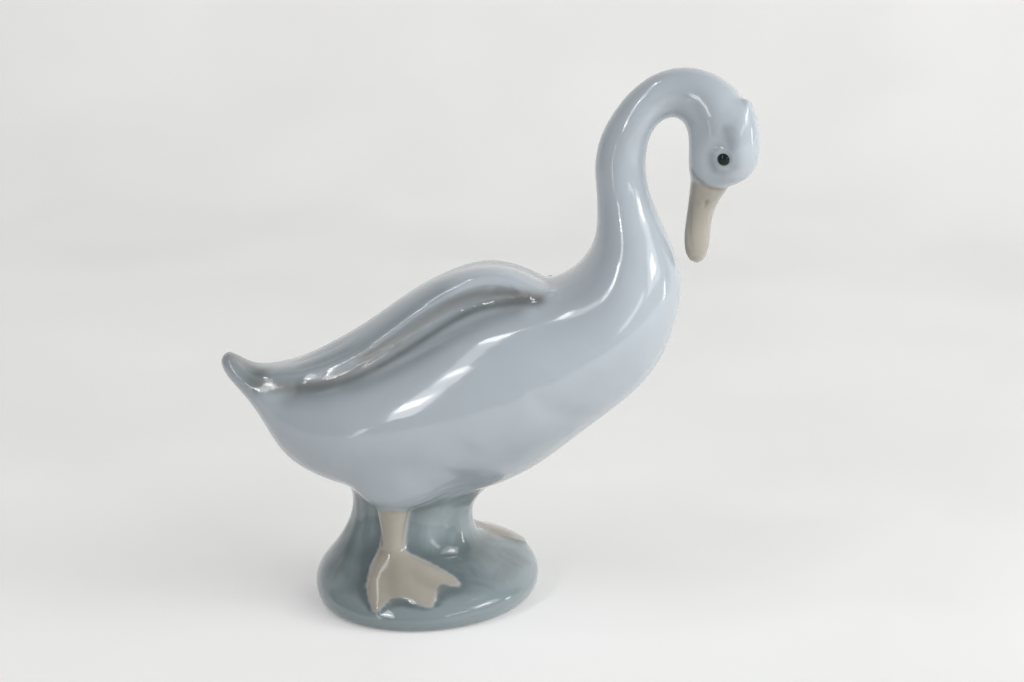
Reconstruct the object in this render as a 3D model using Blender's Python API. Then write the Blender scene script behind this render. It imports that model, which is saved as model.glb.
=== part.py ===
"""Porcelain goose figurine: one cast and glazed piece, the bird and the low mound it stands on.

Blender 4.5 script in metres. +X runs from the tail to the breast, +Y to the bird's left,
+Z up. The origin is in the middle of the mound's flat underside.

Every form is a loft. A side loft is strung between two rails that are seen from the side,
the back line and the belly line; an upright loft is a stack of level ovals.
"""

import math

import bmesh
import bpy
import numpy as np
from mathutils import Matrix, Vector

# Body, neck and head from tail tip to face: back x, z, then belly x, z, then half width
BODY = (
    (-0.0510, 0.0632, -0.0510, 0.0632, 0.0),
    (-0.0494, 0.0650, -0.0522, 0.0613, 0.0040),
    (-0.0460, 0.0624, -0.0501, 0.0577, 0.0072),
    (-0.0418, 0.0597, -0.0450, 0.0526, 0.0088),
    (-0.0370, 0.0582, -0.0406, 0.0458, 0.0108),
    (-0.0318, 0.0586, -0.0366, 0.0380, 0.0148),
    (-0.0240, 0.0606, -0.0288, 0.0330, 0.0200),
    (-0.0140, 0.0640, -0.0190, 0.0296, 0.0242),
    (-0.0030, 0.0696, -0.0070, 0.0272, 0.0266),
    (0.0080, 0.0752, 0.0060, 0.0272, 0.0278),
    (0.0165, 0.0780, 0.0180, 0.0300, 0.0280),
    (0.0236, 0.0798, 0.0288, 0.0357, 0.0276),
    (0.0295, 0.0812, 0.0386, 0.0438, 0.0260),
    (0.0336, 0.0828, 0.0478, 0.0504, 0.0246),
    (0.0370, 0.0850, 0.0556, 0.0574, 0.0228),
    (0.0396, 0.0876, 0.0603, 0.0650, 0.0207),
    (0.0413, 0.0906, 0.0625, 0.0726, 0.0182),
    (0.0422, 0.0935, 0.0642, 0.0800, 0.0154),
    (0.0425, 0.0965, 0.0625, 0.0880, 0.0127),
    (0.0425, 0.0995, 0.0597, 0.0940, 0.0104),
    (0.0424, 0.1030, 0.0573, 0.0995, 0.0086),
    (0.0420, 0.1070, 0.0553, 0.1045, 0.0073),
    (0.0418, 0.1110, 0.0544, 0.1095, 0.0067),
    (0.0423, 0.1152, 0.0545, 0.1140, 0.0064),
    (0.0437, 0.1194, 0.0552, 0.1176, 0.0063),
    (0.0464, 0.1241, 0.0566, 0.1203, 0.0063),
    (0.0503, 0.1290, 0.0583, 0.1217, 0.0063),
    (0.0557, 0.1332, 0.0600, 0.1225, 0.0064),
    (0.0617, 0.1350, 0.0615, 0.1225, 0.0066),
    (0.0679, 0.1347, 0.0630, 0.1218, 0.0069),
    (0.0737, 0.1322, 0.0642, 0.1206, 0.0073),
    (0.0778, 0.1285, 0.0650, 0.1188, 0.0077),
    (0.0800, 0.1243, 0.0653, 0.1165, 0.0080),
    (0.0808, 0.1204, 0.0653, 0.1140, 0.0081),
    (0.0812, 0.1168, 0.0652, 0.1115, 0.0079),
    (0.0811, 0.1134, 0.0653, 0.1091, 0.0074),
    (0.0802, 0.1100, 0.0657, 0.1072, 0.0065),
    (0.0778, 0.1070, 0.0665, 0.1056, 0.0052),
    (0.0745, 0.1052, 0.0678, 0.1048, 0.0032),
    (0.0714, 0.1049, 0.0714, 0.1049, 0.0),
)
BODY_SIDES = 28
BODY_STEPS = 2

# The head turns to the bird's right, round an upright line through the back of the skull
HEAD_TURN = math.radians(28)
TURN_AXIS_X = 0.0695
TURN_STARTS = 24
TURN_ENDS = 32

# Raised cap of the crown, then the bill: front x, z, back x, z, half width
CROWN = (
    (0.0786, 0.1268, 0.0786, 0.1268, 0.0),
    (0.0801, 0.1286, 0.0756, 0.1240, 0.0046),
    (0.0817, 0.1250, 0.0736, 0.1200, 0.0064),
    (0.0828, 0.1199, 0.0715, 0.1165, 0.0076),
    (0.0830, 0.1150, 0.0705, 0.1135, 0.0082),
    (0.0821, 0.1104, 0.0700, 0.1105, 0.0078),
    (0.0790, 0.1064, 0.0702, 0.1078, 0.0062),
    (0.0752, 0.1064, 0.0752, 0.1064, 0.0),
)
BILL = (
    (0.0720, 0.1120, 0.0720, 0.1120, 0.0),
    (0.0768, 0.1112, 0.0664, 0.1112, 0.0058),
    (0.0764, 0.1072, 0.0656, 0.1068, 0.0054),
    (0.0729, 0.1028, 0.0652, 0.1022, 0.0048),
    (0.0709, 0.0990, 0.0649, 0.0988, 0.0047),
    (0.0701, 0.0955, 0.0645, 0.0954, 0.0050),
    (0.0699, 0.0922, 0.0644, 0.0922, 0.0053),
    (0.0696, 0.0890, 0.0648, 0.0890, 0.0049),
    (0.0687, 0.0866, 0.0660, 0.0867, 0.0032),
    (0.0674, 0.0861, 0.0674, 0.0861, 0.0),
)
HEAD_SIDES = 16

# An eye lies on the head's skin: its station of BODY, and its angle down from the back line
EYE_RADIUS = 0.0016
EYE_STATION = 34.6
EYE_ANGLE = math.radians(60)

# Right wing from its tip to the shoulder: x, then inner edge y, z, outer lip y, z, half
# thickness. Its underside drops away inwards from the lip, into the body.
WING = (
    (-0.0462, -0.0020, 0.0590, -0.0020, 0.0590, 0.0),
    (-0.0445, -0.0006, 0.0594, -0.0046, 0.0592, 0.0010),
    (-0.0405, 0.0006, 0.0588, -0.0074, 0.0586, 0.0014),
    (-0.0340, 0.0010, 0.0597, -0.0098, 0.0583, 0.0016),
    (-0.0270, 0.0010, 0.0636, -0.0112, 0.0592, 0.0018),
    (-0.0200, 0.0010, 0.0678, -0.0117, 0.0616, 0.0019),
    (-0.0143, 0.0010, 0.0710, -0.0114, 0.0654, 0.0020),
    (-0.0084, 0.0010, 0.0754, -0.0110, 0.0698, 0.0021),
    (-0.0016, 0.0010, 0.0797, -0.0106, 0.0754, 0.0022),
    (0.0052, 0.0010, 0.0826, -0.0102, 0.0798, 0.0022),
    (0.0113, 0.0010, 0.0842, -0.0100, 0.0828, 0.0022),
    (0.0170, 0.0010, 0.0848, -0.0100, 0.0836, 0.0022),
    (0.0225, 0.0008, 0.0838, -0.0106, 0.0824, 0.0021),
    (0.0275, 0.0000, 0.0820, -0.0116, 0.0802, 0.0019),
    (0.0315, -0.0030, 0.0794, -0.0120, 0.0784, 0.0014),
    (0.0336, -0.0084, 0.0778, -0.0084, 0.0778, 0.0),
)
WING_ROOT = 0.014
WING_SEAM = 0.0003
WING_FULL = 0.006
WING_SIDES = 16

# Right thigh, and right leg from inside it to inside the mound: z, centre x, y, half length x, y
THIGH = (
    (0.0560, -0.0040, -0.0110, 0.0, 0.0),
    (0.0550, -0.0040, -0.0110, 0.0170, 0.0080),
    (0.0480, -0.0040, -0.0124, 0.0192, 0.0104),
    (0.0420, -0.0040, -0.0134, 0.0188, 0.0104),
    (0.0370, -0.0042, -0.0140, 0.0172, 0.0096),
    (0.0336, -0.0048, -0.0143, 0.0144, 0.0082),
    (0.0308, -0.0062, -0.0148, 0.0104, 0.0064),
    (0.0284, -0.0076, -0.0149, 0.0064, 0.0050),
    (0.0262, -0.0082, -0.0149, 0.0, 0.0),
)
LEG = (
    (0.0340, -0.0078, -0.0146, 0.0, 0.0),
    (0.0325, -0.0078, -0.0146, 0.0044, 0.0038),
    (0.0280, -0.0080, -0.0147, 0.0042, 0.0038),
    (0.0235, -0.0082, -0.0148, 0.0031, 0.0030),
    (0.0190, -0.0082, -0.0149, 0.0026, 0.0026),
    (0.0165, -0.0082, -0.0149, 0.0028, 0.0028),
    (0.0135, -0.0082, -0.0140, 0.0034, 0.0030),
    (0.0115, -0.0082, -0.0130, 0.0, 0.0),
)
LEG_SIDES = 16
STRIDE = 0.0160

# Mound from the underside up: z, then its reach backwards, forwards, to the right and left,
# and how far a shoulder under the left foot stands out of that oval
MOUND = (
    (0.0, -0.0254, 0.0254, -0.0290, 0.0290, 0.0),
    (0.0008, -0.0266, 0.0266, -0.0306, 0.0306, 0.0),
    (0.0030, -0.0279, 0.0279, -0.0313, 0.0313, 0.0),
    (0.0058, -0.0285, 0.0284, -0.0300, 0.0306, 0.0004),
    (0.0082, -0.0279, 0.0262, -0.0258, 0.0278, 0.0026),
    (0.0104, -0.0265, 0.0214, -0.0215, 0.0234, 0.0062),
    (0.0124, -0.0249, 0.0164, -0.0188, 0.0196, 0.0076),
    (0.0140, -0.0235, 0.0138, -0.0170, 0.0176, 0.0040),
    (0.0162, -0.0220, 0.0125, -0.0156, 0.0162, 0.0004),
    (0.0192, -0.0202, 0.0118, -0.0143, 0.0150, 0.0),
    (0.0225, -0.0190, 0.0113, -0.0132, 0.0140, 0.0),
    (0.0258, -0.0187, 0.0120, -0.0129, 0.0135, 0.0),
    (0.0290, -0.0192, 0.0156, -0.0136, 0.0142, 0.0),
    (0.0330, -0.0200, 0.0200, -0.0150, 0.0156, 0.0),
    (0.0360, -0.0200, 0.0200, -0.0150, 0.0156, 0.0),
)
MOUND_TAPER = 0.0190
SHOULDER_BEARING = math.radians(36)
SHOULDER_SPREAD = math.radians(34)
MOUND_LEAN = 0.10
MOUND_SIDES = 36

# A foot's toes lie on the mound: the bearing round it in degrees and the height of the
# ankle, then of each toe's bend and tip, in the order of their bearings. The lift is how far
# the web stands out of the mound, and the bridge is how much more it does half way down.
RIGHT_FOOT = {
    "lift": 0.0011,
    "ankle": (-103, 0.0165),
    "toes": (
        ((-114, 0.0104), (-110, 0.0056)),
        ((-87, 0.0110), (-82, 0.0070)),
        ((-66, 0.0133), (-63, 0.0099)),
    ),
}
LEFT_FOOT = {
    "lift": 0.0016,
    "ankle": (52, 0.0160),
    "toes": (
        ((10, 0.0138), (26, 0.0106)),
        ((50, 0.0130), (50, 0.0098)),
        ((69, 0.0126), (74, 0.0078)),
    ),
}
TOE_LIFT = 0.0007
WEB_BRIDGE = 0.0014
WEB_SCALLOP = 0.24
FOOT_SUNK = 0.0020
ANKLE_SPREAD = 8
FOOT_COLUMNS = 17
FOOT_ROWS = 9

WHITE_GLAZE = ((0.56, 0.60, 0.65), 0.10)
BLUE_GLAZE = ((0.33, 0.40, 0.43), 0.10)
PEACH_GLAZE = ((0.56, 0.50, 0.44), 0.12)
EYE_BLACK = ((0.01, 0.02, 0.02), 0.08)


def clear_scene():
    for old in list(bpy.data.objects):
        bpy.data.objects.remove(old)


def collection_named(name):
    made = bpy.data.collections.new(name)
    bpy.context.scene.collection.children.link(made)
    return made


def glaze(name, look):
    colour, roughness = look
    material = bpy.data.materials.new(name)
    material.use_nodes = True
    shader = material.node_tree.nodes["Principled BSDF"]
    shader.inputs["Base Color"].default_value = (*colour, 1.0)
    shader.inputs["Roughness"].default_value = roughness
    shader.inputs["Metallic"].default_value = 0.0
    return material


def spline(stations, steps):
    """Rows along the cubic B-spline of the stations, from the first to the last of them."""
    rows = np.array(stations, float)
    rows = np.vstack([2 * rows[0] - rows[1], rows, 2 * rows[-1] - rows[-2]])
    curve = []
    for span in range(len(stations) - 1):
        for t in np.arange(steps) / steps:
            weights = ((1 - t) ** 3, 3 * t**3 - 6 * t**2 + 4, 1 + 3 * t * (1 + t - t * t), t**3)
            curve.append(np.array(weights) @ rows[span : span + 4] / 6)
    return [*curve, np.array(stations[-1], float)]


def oval(centre, up, side, sides):
    """A ring of points round an ellipse with these half axes."""
    angles = [2 * math.pi * k / sides for k in range(sides)]
    return [centre + up * math.cos(a) + side * math.sin(a) for a in angles]


def loft(name, rings, material, collection, capped=False):
    """A closed mesh through rings of equal count. Without caps, its end rings close up alone."""
    bm = bmesh.new()
    loops = [[bm.verts.new(point) for point in ring] for ring in rings]
    if capped:
        bm.faces.new(loops[0])
        bm.faces.new(loops[-1])
    for low, high in zip(loops, loops[1:]):
        for k in range(len(low)):
            after = (k + 1) % len(low)
            bm.faces.new((low[k], low[after], high[after], high[k]))
    bmesh.ops.remove_doubles(bm, verts=bm.verts, dist=1e-6)
    bmesh.ops.recalc_face_normals(bm, faces=bm.faces)
    return mesh_object(name, bm, material, collection)


def mesh_object(name, bm, material, collection):
    mesh = bpy.data.meshes.new(name)
    bm.to_mesh(mesh)
    bm.free()
    mesh.materials.append(material)
    mesh.shade_smooth()
    made = bpy.data.objects.new(name, mesh)
    collection.objects.link(made)
    return made


def side_ring(row, sides):
    """A ring between the two rails of a side loft."""
    back = Vector((row[0], 0, row[1]))
    belly = Vector((row[2], 0, row[3]))
    return oval((back + belly) / 2, (back - belly) / 2, Vector((0, row[4], 0)), sides)


def turned(points, amount):
    """The points turned about the head's upright axis, by that share of the head's turn."""
    axis = Vector((TURN_AXIS_X, 0, 0))
    turn = Matrix.Rotation(-HEAD_TURN * amount, 3, "Z")
    return [turn @ (point - axis) + axis for point in points]


def turn_share(station):
    """How much of the head's turn the neck has made at a station of BODY."""
    t = min(max((station - TURN_STARTS) / (TURN_ENDS - TURN_STARTS), 0), 1)
    return t * t * (3 - 2 * t)


def body_rings():
    rows = spline(BODY, BODY_STEPS)
    return [
        turned(side_ring(row, BODY_SIDES), turn_share(k / BODY_STEPS))
        for k, row in enumerate(rows)
    ]


def head_rings(stations, steps):
    """Rings of a side loft that turns with the head."""
    return [turned(side_ring(row, HEAD_SIDES), 1.0) for row in spline(stations, steps)]


def wing_rings(side):
    """Rings of one wing in upright sections: side is 1 for the right wing and -1 for the left."""
    rings = []
    for x, inner_y, inner_z, lip_y, lip_z, thickness in spline(WING, 2):
        inner = Vector((x, inner_y * side + WING_SEAM, inner_z))
        lip = Vector((x, lip_y * side + WING_SEAM, lip_z))
        across = (inner - lip) / 2
        out = Vector((1, 0, 0)).cross(across).normalized() * thickness * side
        ring = oval((inner + lip) / 2, across, out, WING_SIDES)
        for k, point in enumerate(ring):
            angle = 2 * math.pi * k / WING_SIDES
            share = across.length / WING_FULL
            point.z -= WING_ROOT * share * (1 + math.cos(angle)) / 2 * max(-math.sin(angle), 0)
        rings.append(ring)
    return rings


def upright_rings(rows, sides):
    """Rings of an upright loft, from rows of z, centre x, y and half length x, y."""
    return [
        oval(Vector((x, y, z)), Vector((half_x, 0, 0)), Vector((0, half_y, 0)), sides)
        for z, x, y, half_x, half_y in rows
    ]


def limb_rings(stations, side, forward):
    """Rings of a thigh or leg: side is 1 for the right one and -1 for the left."""
    rows = [(z, x + forward, y * side, a, b) for z, x, y, a, b in spline(stations, 2)]
    return upright_rings(rows, LEG_SIDES)


def mound_oval(row, bearing, outward=0.0):
    """The point on the mound's skin at a bearing in radians, moved outward in the level plane."""
    z, back, front, right, left, shoulder = row
    away = (bearing - SHOULDER_BEARING + math.pi) % (2 * math.pi) - math.pi
    outward += shoulder * math.exp(-((away / SHOULDER_SPREAD) ** 2))
    half_x = (front - back) / 2 + outward
    half_y = (left - right) / 2 + outward
    y = (left + right) / 2 + half_y * math.sin(bearing)
    x = (front + back) / 2 + half_x * math.cos(bearing) + MOUND_LEAN * y * lean_share(z)
    return Vector((x, y, z))


def lean_share(z):
    """The oval leans most at the foot of the mound and not at all under the belly."""
    return max(1 - z / MOUND_TAPER, 0)


def mound_rings(steps):
    bearings = [2 * math.pi * k / MOUND_SIDES for k in range(MOUND_SIDES)]
    return [[mound_oval(row, b) for b in bearings] for row in spline(MOUND, steps)]


def mound_row_at(height):
    """The mound's row at a height, read off its spline above the rim."""
    rows = np.array([row for row in spline(MOUND, 8) if row[0] > 0])
    order = np.argsort(rows[:, 0])
    return [np.interp(height, rows[order, 0], rows[order, k]) for k in range(6)]


def toe_point(foot, toe, along):
    """Bearing and height of a point on a toe, by a curve through its ankle, bend and tip."""
    ankle = Vector(foot["ankle"])
    bend, tip = (Vector(end) for end in foot["toes"][toe])
    return ankle * (1 - along) ** 2 + bend * 2 * along * (1 - along) + tip * along**2


def foot_rings(foot):
    """Rings across a webbed foot from one side toe to the other. Each ring runs from the ankle
    along the top to the front edge, and back inside the mound."""
    rings = []
    for column in range(FOOT_COLUMNS):
        across = 2 * column / (FOOT_COLUMNS - 1)
        toe = min(int(across), 1)
        share = across - toe
        reach = 1 - WEB_SCALLOP * math.sin(math.pi * share) ** 1.5
        lift = foot["lift"] + TOE_LIFT * abs(math.cos(math.pi * share)) ** 3
        top = []
        sunk = []
        for row in range(FOOT_ROWS):
            along = reach * row / (FOOT_ROWS - 1)
            near = toe_point(foot, toe, along) * (1 - share)
            bearing, height = near + toe_point(foot, toe + 1, along) * share
            bearing = math.radians(bearing + ANKLE_SPREAD * (across - 1) * (1 - along))
            bridge = WEB_BRIDGE * math.sin(math.pi * min(along * 1.25, 1))
            top.append(mound_oval(mound_row_at(height), bearing, lift + bridge))
            sunk.append(mound_oval(mound_row_at(height), bearing, -FOOT_SUNK))
        rings.append(top + sunk[::-1])
        if column in (0, FOOT_COLUMNS - 1):
            side_wall = sunk + sunk[::-1]
            rings.insert(0 if column == 0 else len(rings), side_wall)
    return rings


def eye_place(side):
    """The point on the head's skin that an eye lies on: side is -1 for the right eye."""
    steps = 10
    row = spline(BODY, steps)[round(EYE_STATION * steps)]
    back = Vector((row[0], 0, row[1]))
    belly = Vector((row[2], 0, row[3]))
    out = Vector((0, row[4] * side * math.sin(EYE_ANGLE), 0))
    point = (back + belly) / 2 + (back - belly) / 2 * math.cos(EYE_ANGLE) + out
    return turned([point], 1.0)[0]


def eye(name, side, material, collection):
    place = eye_place(side)
    bpy.ops.mesh.primitive_uv_sphere_add(
        segments=12, ring_count=8, radius=EYE_RADIUS, location=place
    )
    made = bpy.context.object
    made.name = name
    made.data.materials.append(material)
    made.data.shade_smooth()
    for holder in made.users_collection:
        holder.objects.unlink(made)
    collection.objects.link(made)
    return made


def combine(whole, tool, operation):
    """Adds a Boolean with the tool to the whole, and hides the tool."""
    boolean = whole.modifiers.new(tool.name, "BOOLEAN")
    boolean.operation = operation
    boolean.object = tool
    boolean.material_mode = "TRANSFER"
    tool.hide_render = True
    tool.display_type = "WIRE"


def main():
    clear_scene()
    shown = collection_named("goose_figurine")
    tools = collection_named("joined_forms")
    white = glaze("white_glaze", WHITE_GLAZE)
    blue = glaze("blue_glaze", BLUE_GLAZE)
    peach = glaze("peach_glaze", PEACH_GLAZE)
    black = glaze("eye_black", EYE_BLACK)

    figurine = loft("goose_figurine", body_rings(), white, shown)
    joined = [
        loft("crown", head_rings(CROWN, 2), white, tools),
        loft("bill", head_rings(BILL, 2), peach, tools),
        loft("right_wing", wing_rings(1), white, tools),
        loft("left_wing", wing_rings(-1), white, tools),
        loft("mound", mound_rings(2), blue, tools, capped=True),
        loft("right_thigh", limb_rings(THIGH, 1, 0.0), white, tools),
        loft("left_thigh", limb_rings(THIGH, -1, STRIDE), white, tools),
        loft("right_leg", limb_rings(LEG, 1, 0.0), peach, tools),
        loft("left_leg", limb_rings(LEG, -1, STRIDE), peach, tools),
        loft("right_foot", foot_rings(RIGHT_FOOT), peach, tools),
        loft("left_foot", foot_rings(LEFT_FOOT), peach, tools),
        eye("right_eye", -1, black, tools),
        eye("left_eye", 1, black, tools),
    ]
    for form in joined:
        combine(figurine, form, "UNION")


main()
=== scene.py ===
"""Porcelain goose figurine: the modelled and glazed surface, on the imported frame.

The bird, its feet and its mound are lofted from the same sizes as the CAD model, fused into
one skin with softened joins, and then worked with small tools: strokes that raise or press
the surface. Masks on the skin tell the glaze where the colours lie.

Metres, +X from tail to breast, +Y to the bird's left, +Z up. The origin is in the middle of
the mound's underside.
"""

import math

import bmesh
import bpy
import numpy as np
from mathutils import Matrix, Vector
from mathutils.bvhtree import BVHTree


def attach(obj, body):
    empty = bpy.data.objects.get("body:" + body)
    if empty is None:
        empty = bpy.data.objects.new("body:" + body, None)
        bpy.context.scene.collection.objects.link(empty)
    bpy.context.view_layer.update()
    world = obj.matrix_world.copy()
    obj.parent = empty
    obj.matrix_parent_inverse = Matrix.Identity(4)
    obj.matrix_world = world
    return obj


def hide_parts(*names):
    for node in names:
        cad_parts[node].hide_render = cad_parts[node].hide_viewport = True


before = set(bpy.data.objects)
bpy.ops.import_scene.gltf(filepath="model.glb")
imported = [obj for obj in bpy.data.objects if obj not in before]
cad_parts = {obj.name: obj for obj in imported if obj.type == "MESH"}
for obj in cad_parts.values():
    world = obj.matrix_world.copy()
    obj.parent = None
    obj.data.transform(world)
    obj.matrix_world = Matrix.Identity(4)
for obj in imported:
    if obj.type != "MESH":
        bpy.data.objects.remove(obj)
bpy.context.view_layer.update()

MM = 0.001
MERGE_DISTANCE = 1e-6
LOFT_STEPS = 8

# Body, neck and head from tail tip to face: back x, z, then belly x, z, then half width
BODY = (
    (-0.0510, 0.0632, -0.0510, 0.0632, 0.0),
    (-0.0494, 0.0650, -0.0522, 0.0613, 0.0040),
    (-0.0460, 0.0624, -0.0501, 0.0577, 0.0072),
    (-0.0418, 0.0597, -0.0450, 0.0526, 0.0088),
    (-0.0370, 0.0582, -0.0406, 0.0458, 0.0108),
    (-0.0318, 0.0586, -0.0366, 0.0380, 0.0148),
    (-0.0240, 0.0606, -0.0288, 0.0330, 0.0200),
    (-0.0140, 0.0640, -0.0190, 0.0296, 0.0242),
    (-0.0030, 0.0696, -0.0070, 0.0272, 0.0266),
    (0.0080, 0.0752, 0.0060, 0.0272, 0.0278),
    (0.0165, 0.0780, 0.0180, 0.0300, 0.0280),
    (0.0236, 0.0798, 0.0288, 0.0357, 0.0276),
    (0.0295, 0.0812, 0.0386, 0.0438, 0.0260),
    (0.0336, 0.0828, 0.0478, 0.0504, 0.0246),
    (0.0370, 0.0850, 0.0556, 0.0574, 0.0228),
    (0.0396, 0.0876, 0.0603, 0.0650, 0.0207),
    (0.0413, 0.0906, 0.0625, 0.0726, 0.0182),
    (0.0422, 0.0935, 0.0642, 0.0800, 0.0154),
    (0.0425, 0.0965, 0.0625, 0.0880, 0.0127),
    (0.0425, 0.0995, 0.0597, 0.0940, 0.0104),
    (0.0424, 0.1030, 0.0573, 0.0995, 0.0086),
    (0.0420, 0.1070, 0.0553, 0.1045, 0.0073),
    (0.0418, 0.1110, 0.0544, 0.1095, 0.0067),
    (0.0423, 0.1152, 0.0545, 0.1140, 0.0064),
    (0.0437, 0.1194, 0.0552, 0.1176, 0.0063),
    (0.0464, 0.1241, 0.0566, 0.1203, 0.0063),
    (0.0503, 0.1290, 0.0583, 0.1217, 0.0063),
    (0.0557, 0.1332, 0.0600, 0.1225, 0.0064),
    (0.0617, 0.1350, 0.0615, 0.1225, 0.0066),
    (0.0679, 0.1347, 0.0630, 0.1218, 0.0069),
    (0.0737, 0.1322, 0.0642, 0.1206, 0.0073),
    (0.0778, 0.1285, 0.0650, 0.1188, 0.0077),
    (0.0800, 0.1243, 0.0653, 0.1165, 0.0080),
    (0.0808, 0.1204, 0.0653, 0.1140, 0.0081),
    (0.0812, 0.1168, 0.0652, 0.1115, 0.0079),
    (0.0811, 0.1134, 0.0653, 0.1091, 0.0074),
    (0.0802, 0.1100, 0.0657, 0.1072, 0.0065),
    (0.0778, 0.1070, 0.0665, 0.1056, 0.0052),
    (0.0745, 0.1052, 0.0678, 0.1048, 0.0032),
    (0.0714, 0.1049, 0.0714, 0.1049, 0.0),
)
BODY_SIDES = 96
BODY_STEPS = 6

# The head turns to the bird's right, round an upright line through the back of the skull
HEAD_TURN = math.radians(28)
TURN_AXIS_X = 0.0695
TURN_STARTS = 24
TURN_ENDS = 32

# Raised cap of the crown, then the bill: front x, z, back x, z, half width
CROWN = (
    (0.0786, 0.1268, 0.0786, 0.1268, 0.0),
    (0.0801, 0.1286, 0.0756, 0.1240, 0.0046),
    (0.0817, 0.1250, 0.0736, 0.1200, 0.0064),
    (0.0828, 0.1199, 0.0715, 0.1165, 0.0076),
    (0.0830, 0.1150, 0.0705, 0.1135, 0.0082),
    (0.0821, 0.1104, 0.0700, 0.1105, 0.0078),
    (0.0790, 0.1064, 0.0702, 0.1078, 0.0062),
    (0.0752, 0.1064, 0.0752, 0.1064, 0.0),
)
BILL = (
    (0.0720, 0.1120, 0.0720, 0.1120, 0.0),
    (0.0768, 0.1112, 0.0664, 0.1112, 0.0058),
    (0.0764, 0.1072, 0.0656, 0.1068, 0.0054),
    (0.0729, 0.1028, 0.0652, 0.1022, 0.0048),
    (0.0709, 0.0990, 0.0649, 0.0988, 0.0047),
    (0.0701, 0.0955, 0.0645, 0.0954, 0.0050),
    (0.0699, 0.0922, 0.0644, 0.0922, 0.0053),
    (0.0696, 0.0890, 0.0648, 0.0890, 0.0049),
    (0.0687, 0.0866, 0.0660, 0.0867, 0.0032),
    (0.0674, 0.0861, 0.0674, 0.0861, 0.0),
)
HEAD_SIDES = 64

# Right wing from its tip to the shoulder: x, then inner edge y, z, outer lip y, z, half
# thickness. Its underside drops away inwards from the lip into the body, by the root where the
# wing is full. The seam is how far to the left of the middle the two wings meet.
WING = (
    (-0.0462, -0.0020, 0.0590, -0.0020, 0.0590, 0.0),
    (-0.0445, -0.0006, 0.0594, -0.0046, 0.0592, 0.0010),
    (-0.0405, 0.0006, 0.0588, -0.0074, 0.0586, 0.0014),
    (-0.0340, 0.0010, 0.0597, -0.0098, 0.0583, 0.0016),
    (-0.0270, 0.0010, 0.0636, -0.0112, 0.0592, 0.0018),
    (-0.0200, 0.0010, 0.0678, -0.0117, 0.0616, 0.0019),
    (-0.0143, 0.0010, 0.0710, -0.0114, 0.0654, 0.0020),
    (-0.0084, 0.0010, 0.0754, -0.0110, 0.0698, 0.0021),
    (-0.0016, 0.0010, 0.0797, -0.0106, 0.0754, 0.0022),
    (0.0052, 0.0010, 0.0826, -0.0102, 0.0798, 0.0022),
    (0.0113, 0.0010, 0.0842, -0.0100, 0.0828, 0.0022),
    (0.0170, 0.0010, 0.0848, -0.0100, 0.0836, 0.0022),
    (0.0225, 0.0008, 0.0838, -0.0106, 0.0824, 0.0021),
    (0.0275, 0.0000, 0.0820, -0.0116, 0.0802, 0.0019),
    (0.0315, -0.0030, 0.0794, -0.0120, 0.0784, 0.0014),
    (0.0336, -0.0084, 0.0778, -0.0084, 0.0778, 0.0),
)
WING_ROOT = 0.014
WING_SEAM = 0.0003
WING_FULL = 0.006
WING_SIDES = 64

# Right thigh, and right leg from inside it to inside the mound: z, centre x, y, half length x, y
THIGH = (
    (0.0560, -0.0040, -0.0110, 0.0, 0.0),
    (0.0550, -0.0040, -0.0110, 0.0170, 0.0080),
    (0.0480, -0.0040, -0.0124, 0.0192, 0.0104),
    (0.0420, -0.0040, -0.0134, 0.0188, 0.0104),
    (0.0370, -0.0042, -0.0140, 0.0172, 0.0096),
    (0.0336, -0.0048, -0.0143, 0.0144, 0.0082),
    (0.0308, -0.0062, -0.0148, 0.0104, 0.0064),
    (0.0284, -0.0076, -0.0149, 0.0064, 0.0050),
    (0.0262, -0.0082, -0.0149, 0.0, 0.0),
)
LEG = (
    (0.0340, -0.0078, -0.0146, 0.0, 0.0),
    (0.0325, -0.0078, -0.0146, 0.0044, 0.0038),
    (0.0280, -0.0080, -0.0147, 0.0042, 0.0038),
    (0.0235, -0.0082, -0.0148, 0.0031, 0.0030),
    (0.0190, -0.0082, -0.0149, 0.0026, 0.0026),
    (0.0165, -0.0082, -0.0149, 0.0028, 0.0028),
    (0.0135, -0.0082, -0.0140, 0.0034, 0.0030),
    (0.0115, -0.0082, -0.0130, 0.0, 0.0),
)
LEG_SIDES = 48
STRIDE = 0.0160

# Mound from the underside up: z, then its reach backwards, forwards, to the right and left,
# and how far a shoulder under the left foot stands out of that oval
MOUND = (
    (0.0, -0.0254, 0.0254, -0.0290, 0.0290, 0.0),
    (0.0008, -0.0266, 0.0266, -0.0306, 0.0306, 0.0),
    (0.0030, -0.0279, 0.0279, -0.0313, 0.0313, 0.0),
    (0.0058, -0.0285, 0.0284, -0.0300, 0.0306, 0.0004),
    (0.0082, -0.0279, 0.0262, -0.0258, 0.0278, 0.0026),
    (0.0104, -0.0265, 0.0214, -0.0215, 0.0234, 0.0062),
    (0.0124, -0.0249, 0.0164, -0.0188, 0.0196, 0.0076),
    (0.0140, -0.0235, 0.0138, -0.0170, 0.0176, 0.0040),
    (0.0162, -0.0220, 0.0125, -0.0156, 0.0162, 0.0004),
    (0.0192, -0.0202, 0.0118, -0.0143, 0.0150, 0.0),
    (0.0225, -0.0190, 0.0113, -0.0132, 0.0140, 0.0),
    (0.0258, -0.0187, 0.0120, -0.0129, 0.0135, 0.0),
    (0.0290, -0.0192, 0.0156, -0.0136, 0.0142, 0.0),
    (0.0330, -0.0200, 0.0200, -0.0150, 0.0156, 0.0),
    (0.0360, -0.0200, 0.0200, -0.0150, 0.0156, 0.0),
)
MOUND_TAPER = 0.0190
SHOULDER_BEARING = math.radians(36)
SHOULDER_SPREAD = math.radians(34)
MOUND_LEAN = 0.10
MOUND_SIDES = 144
MOUND_STEPS = 6
MOUND_FINE_STEPS = 16

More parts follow.
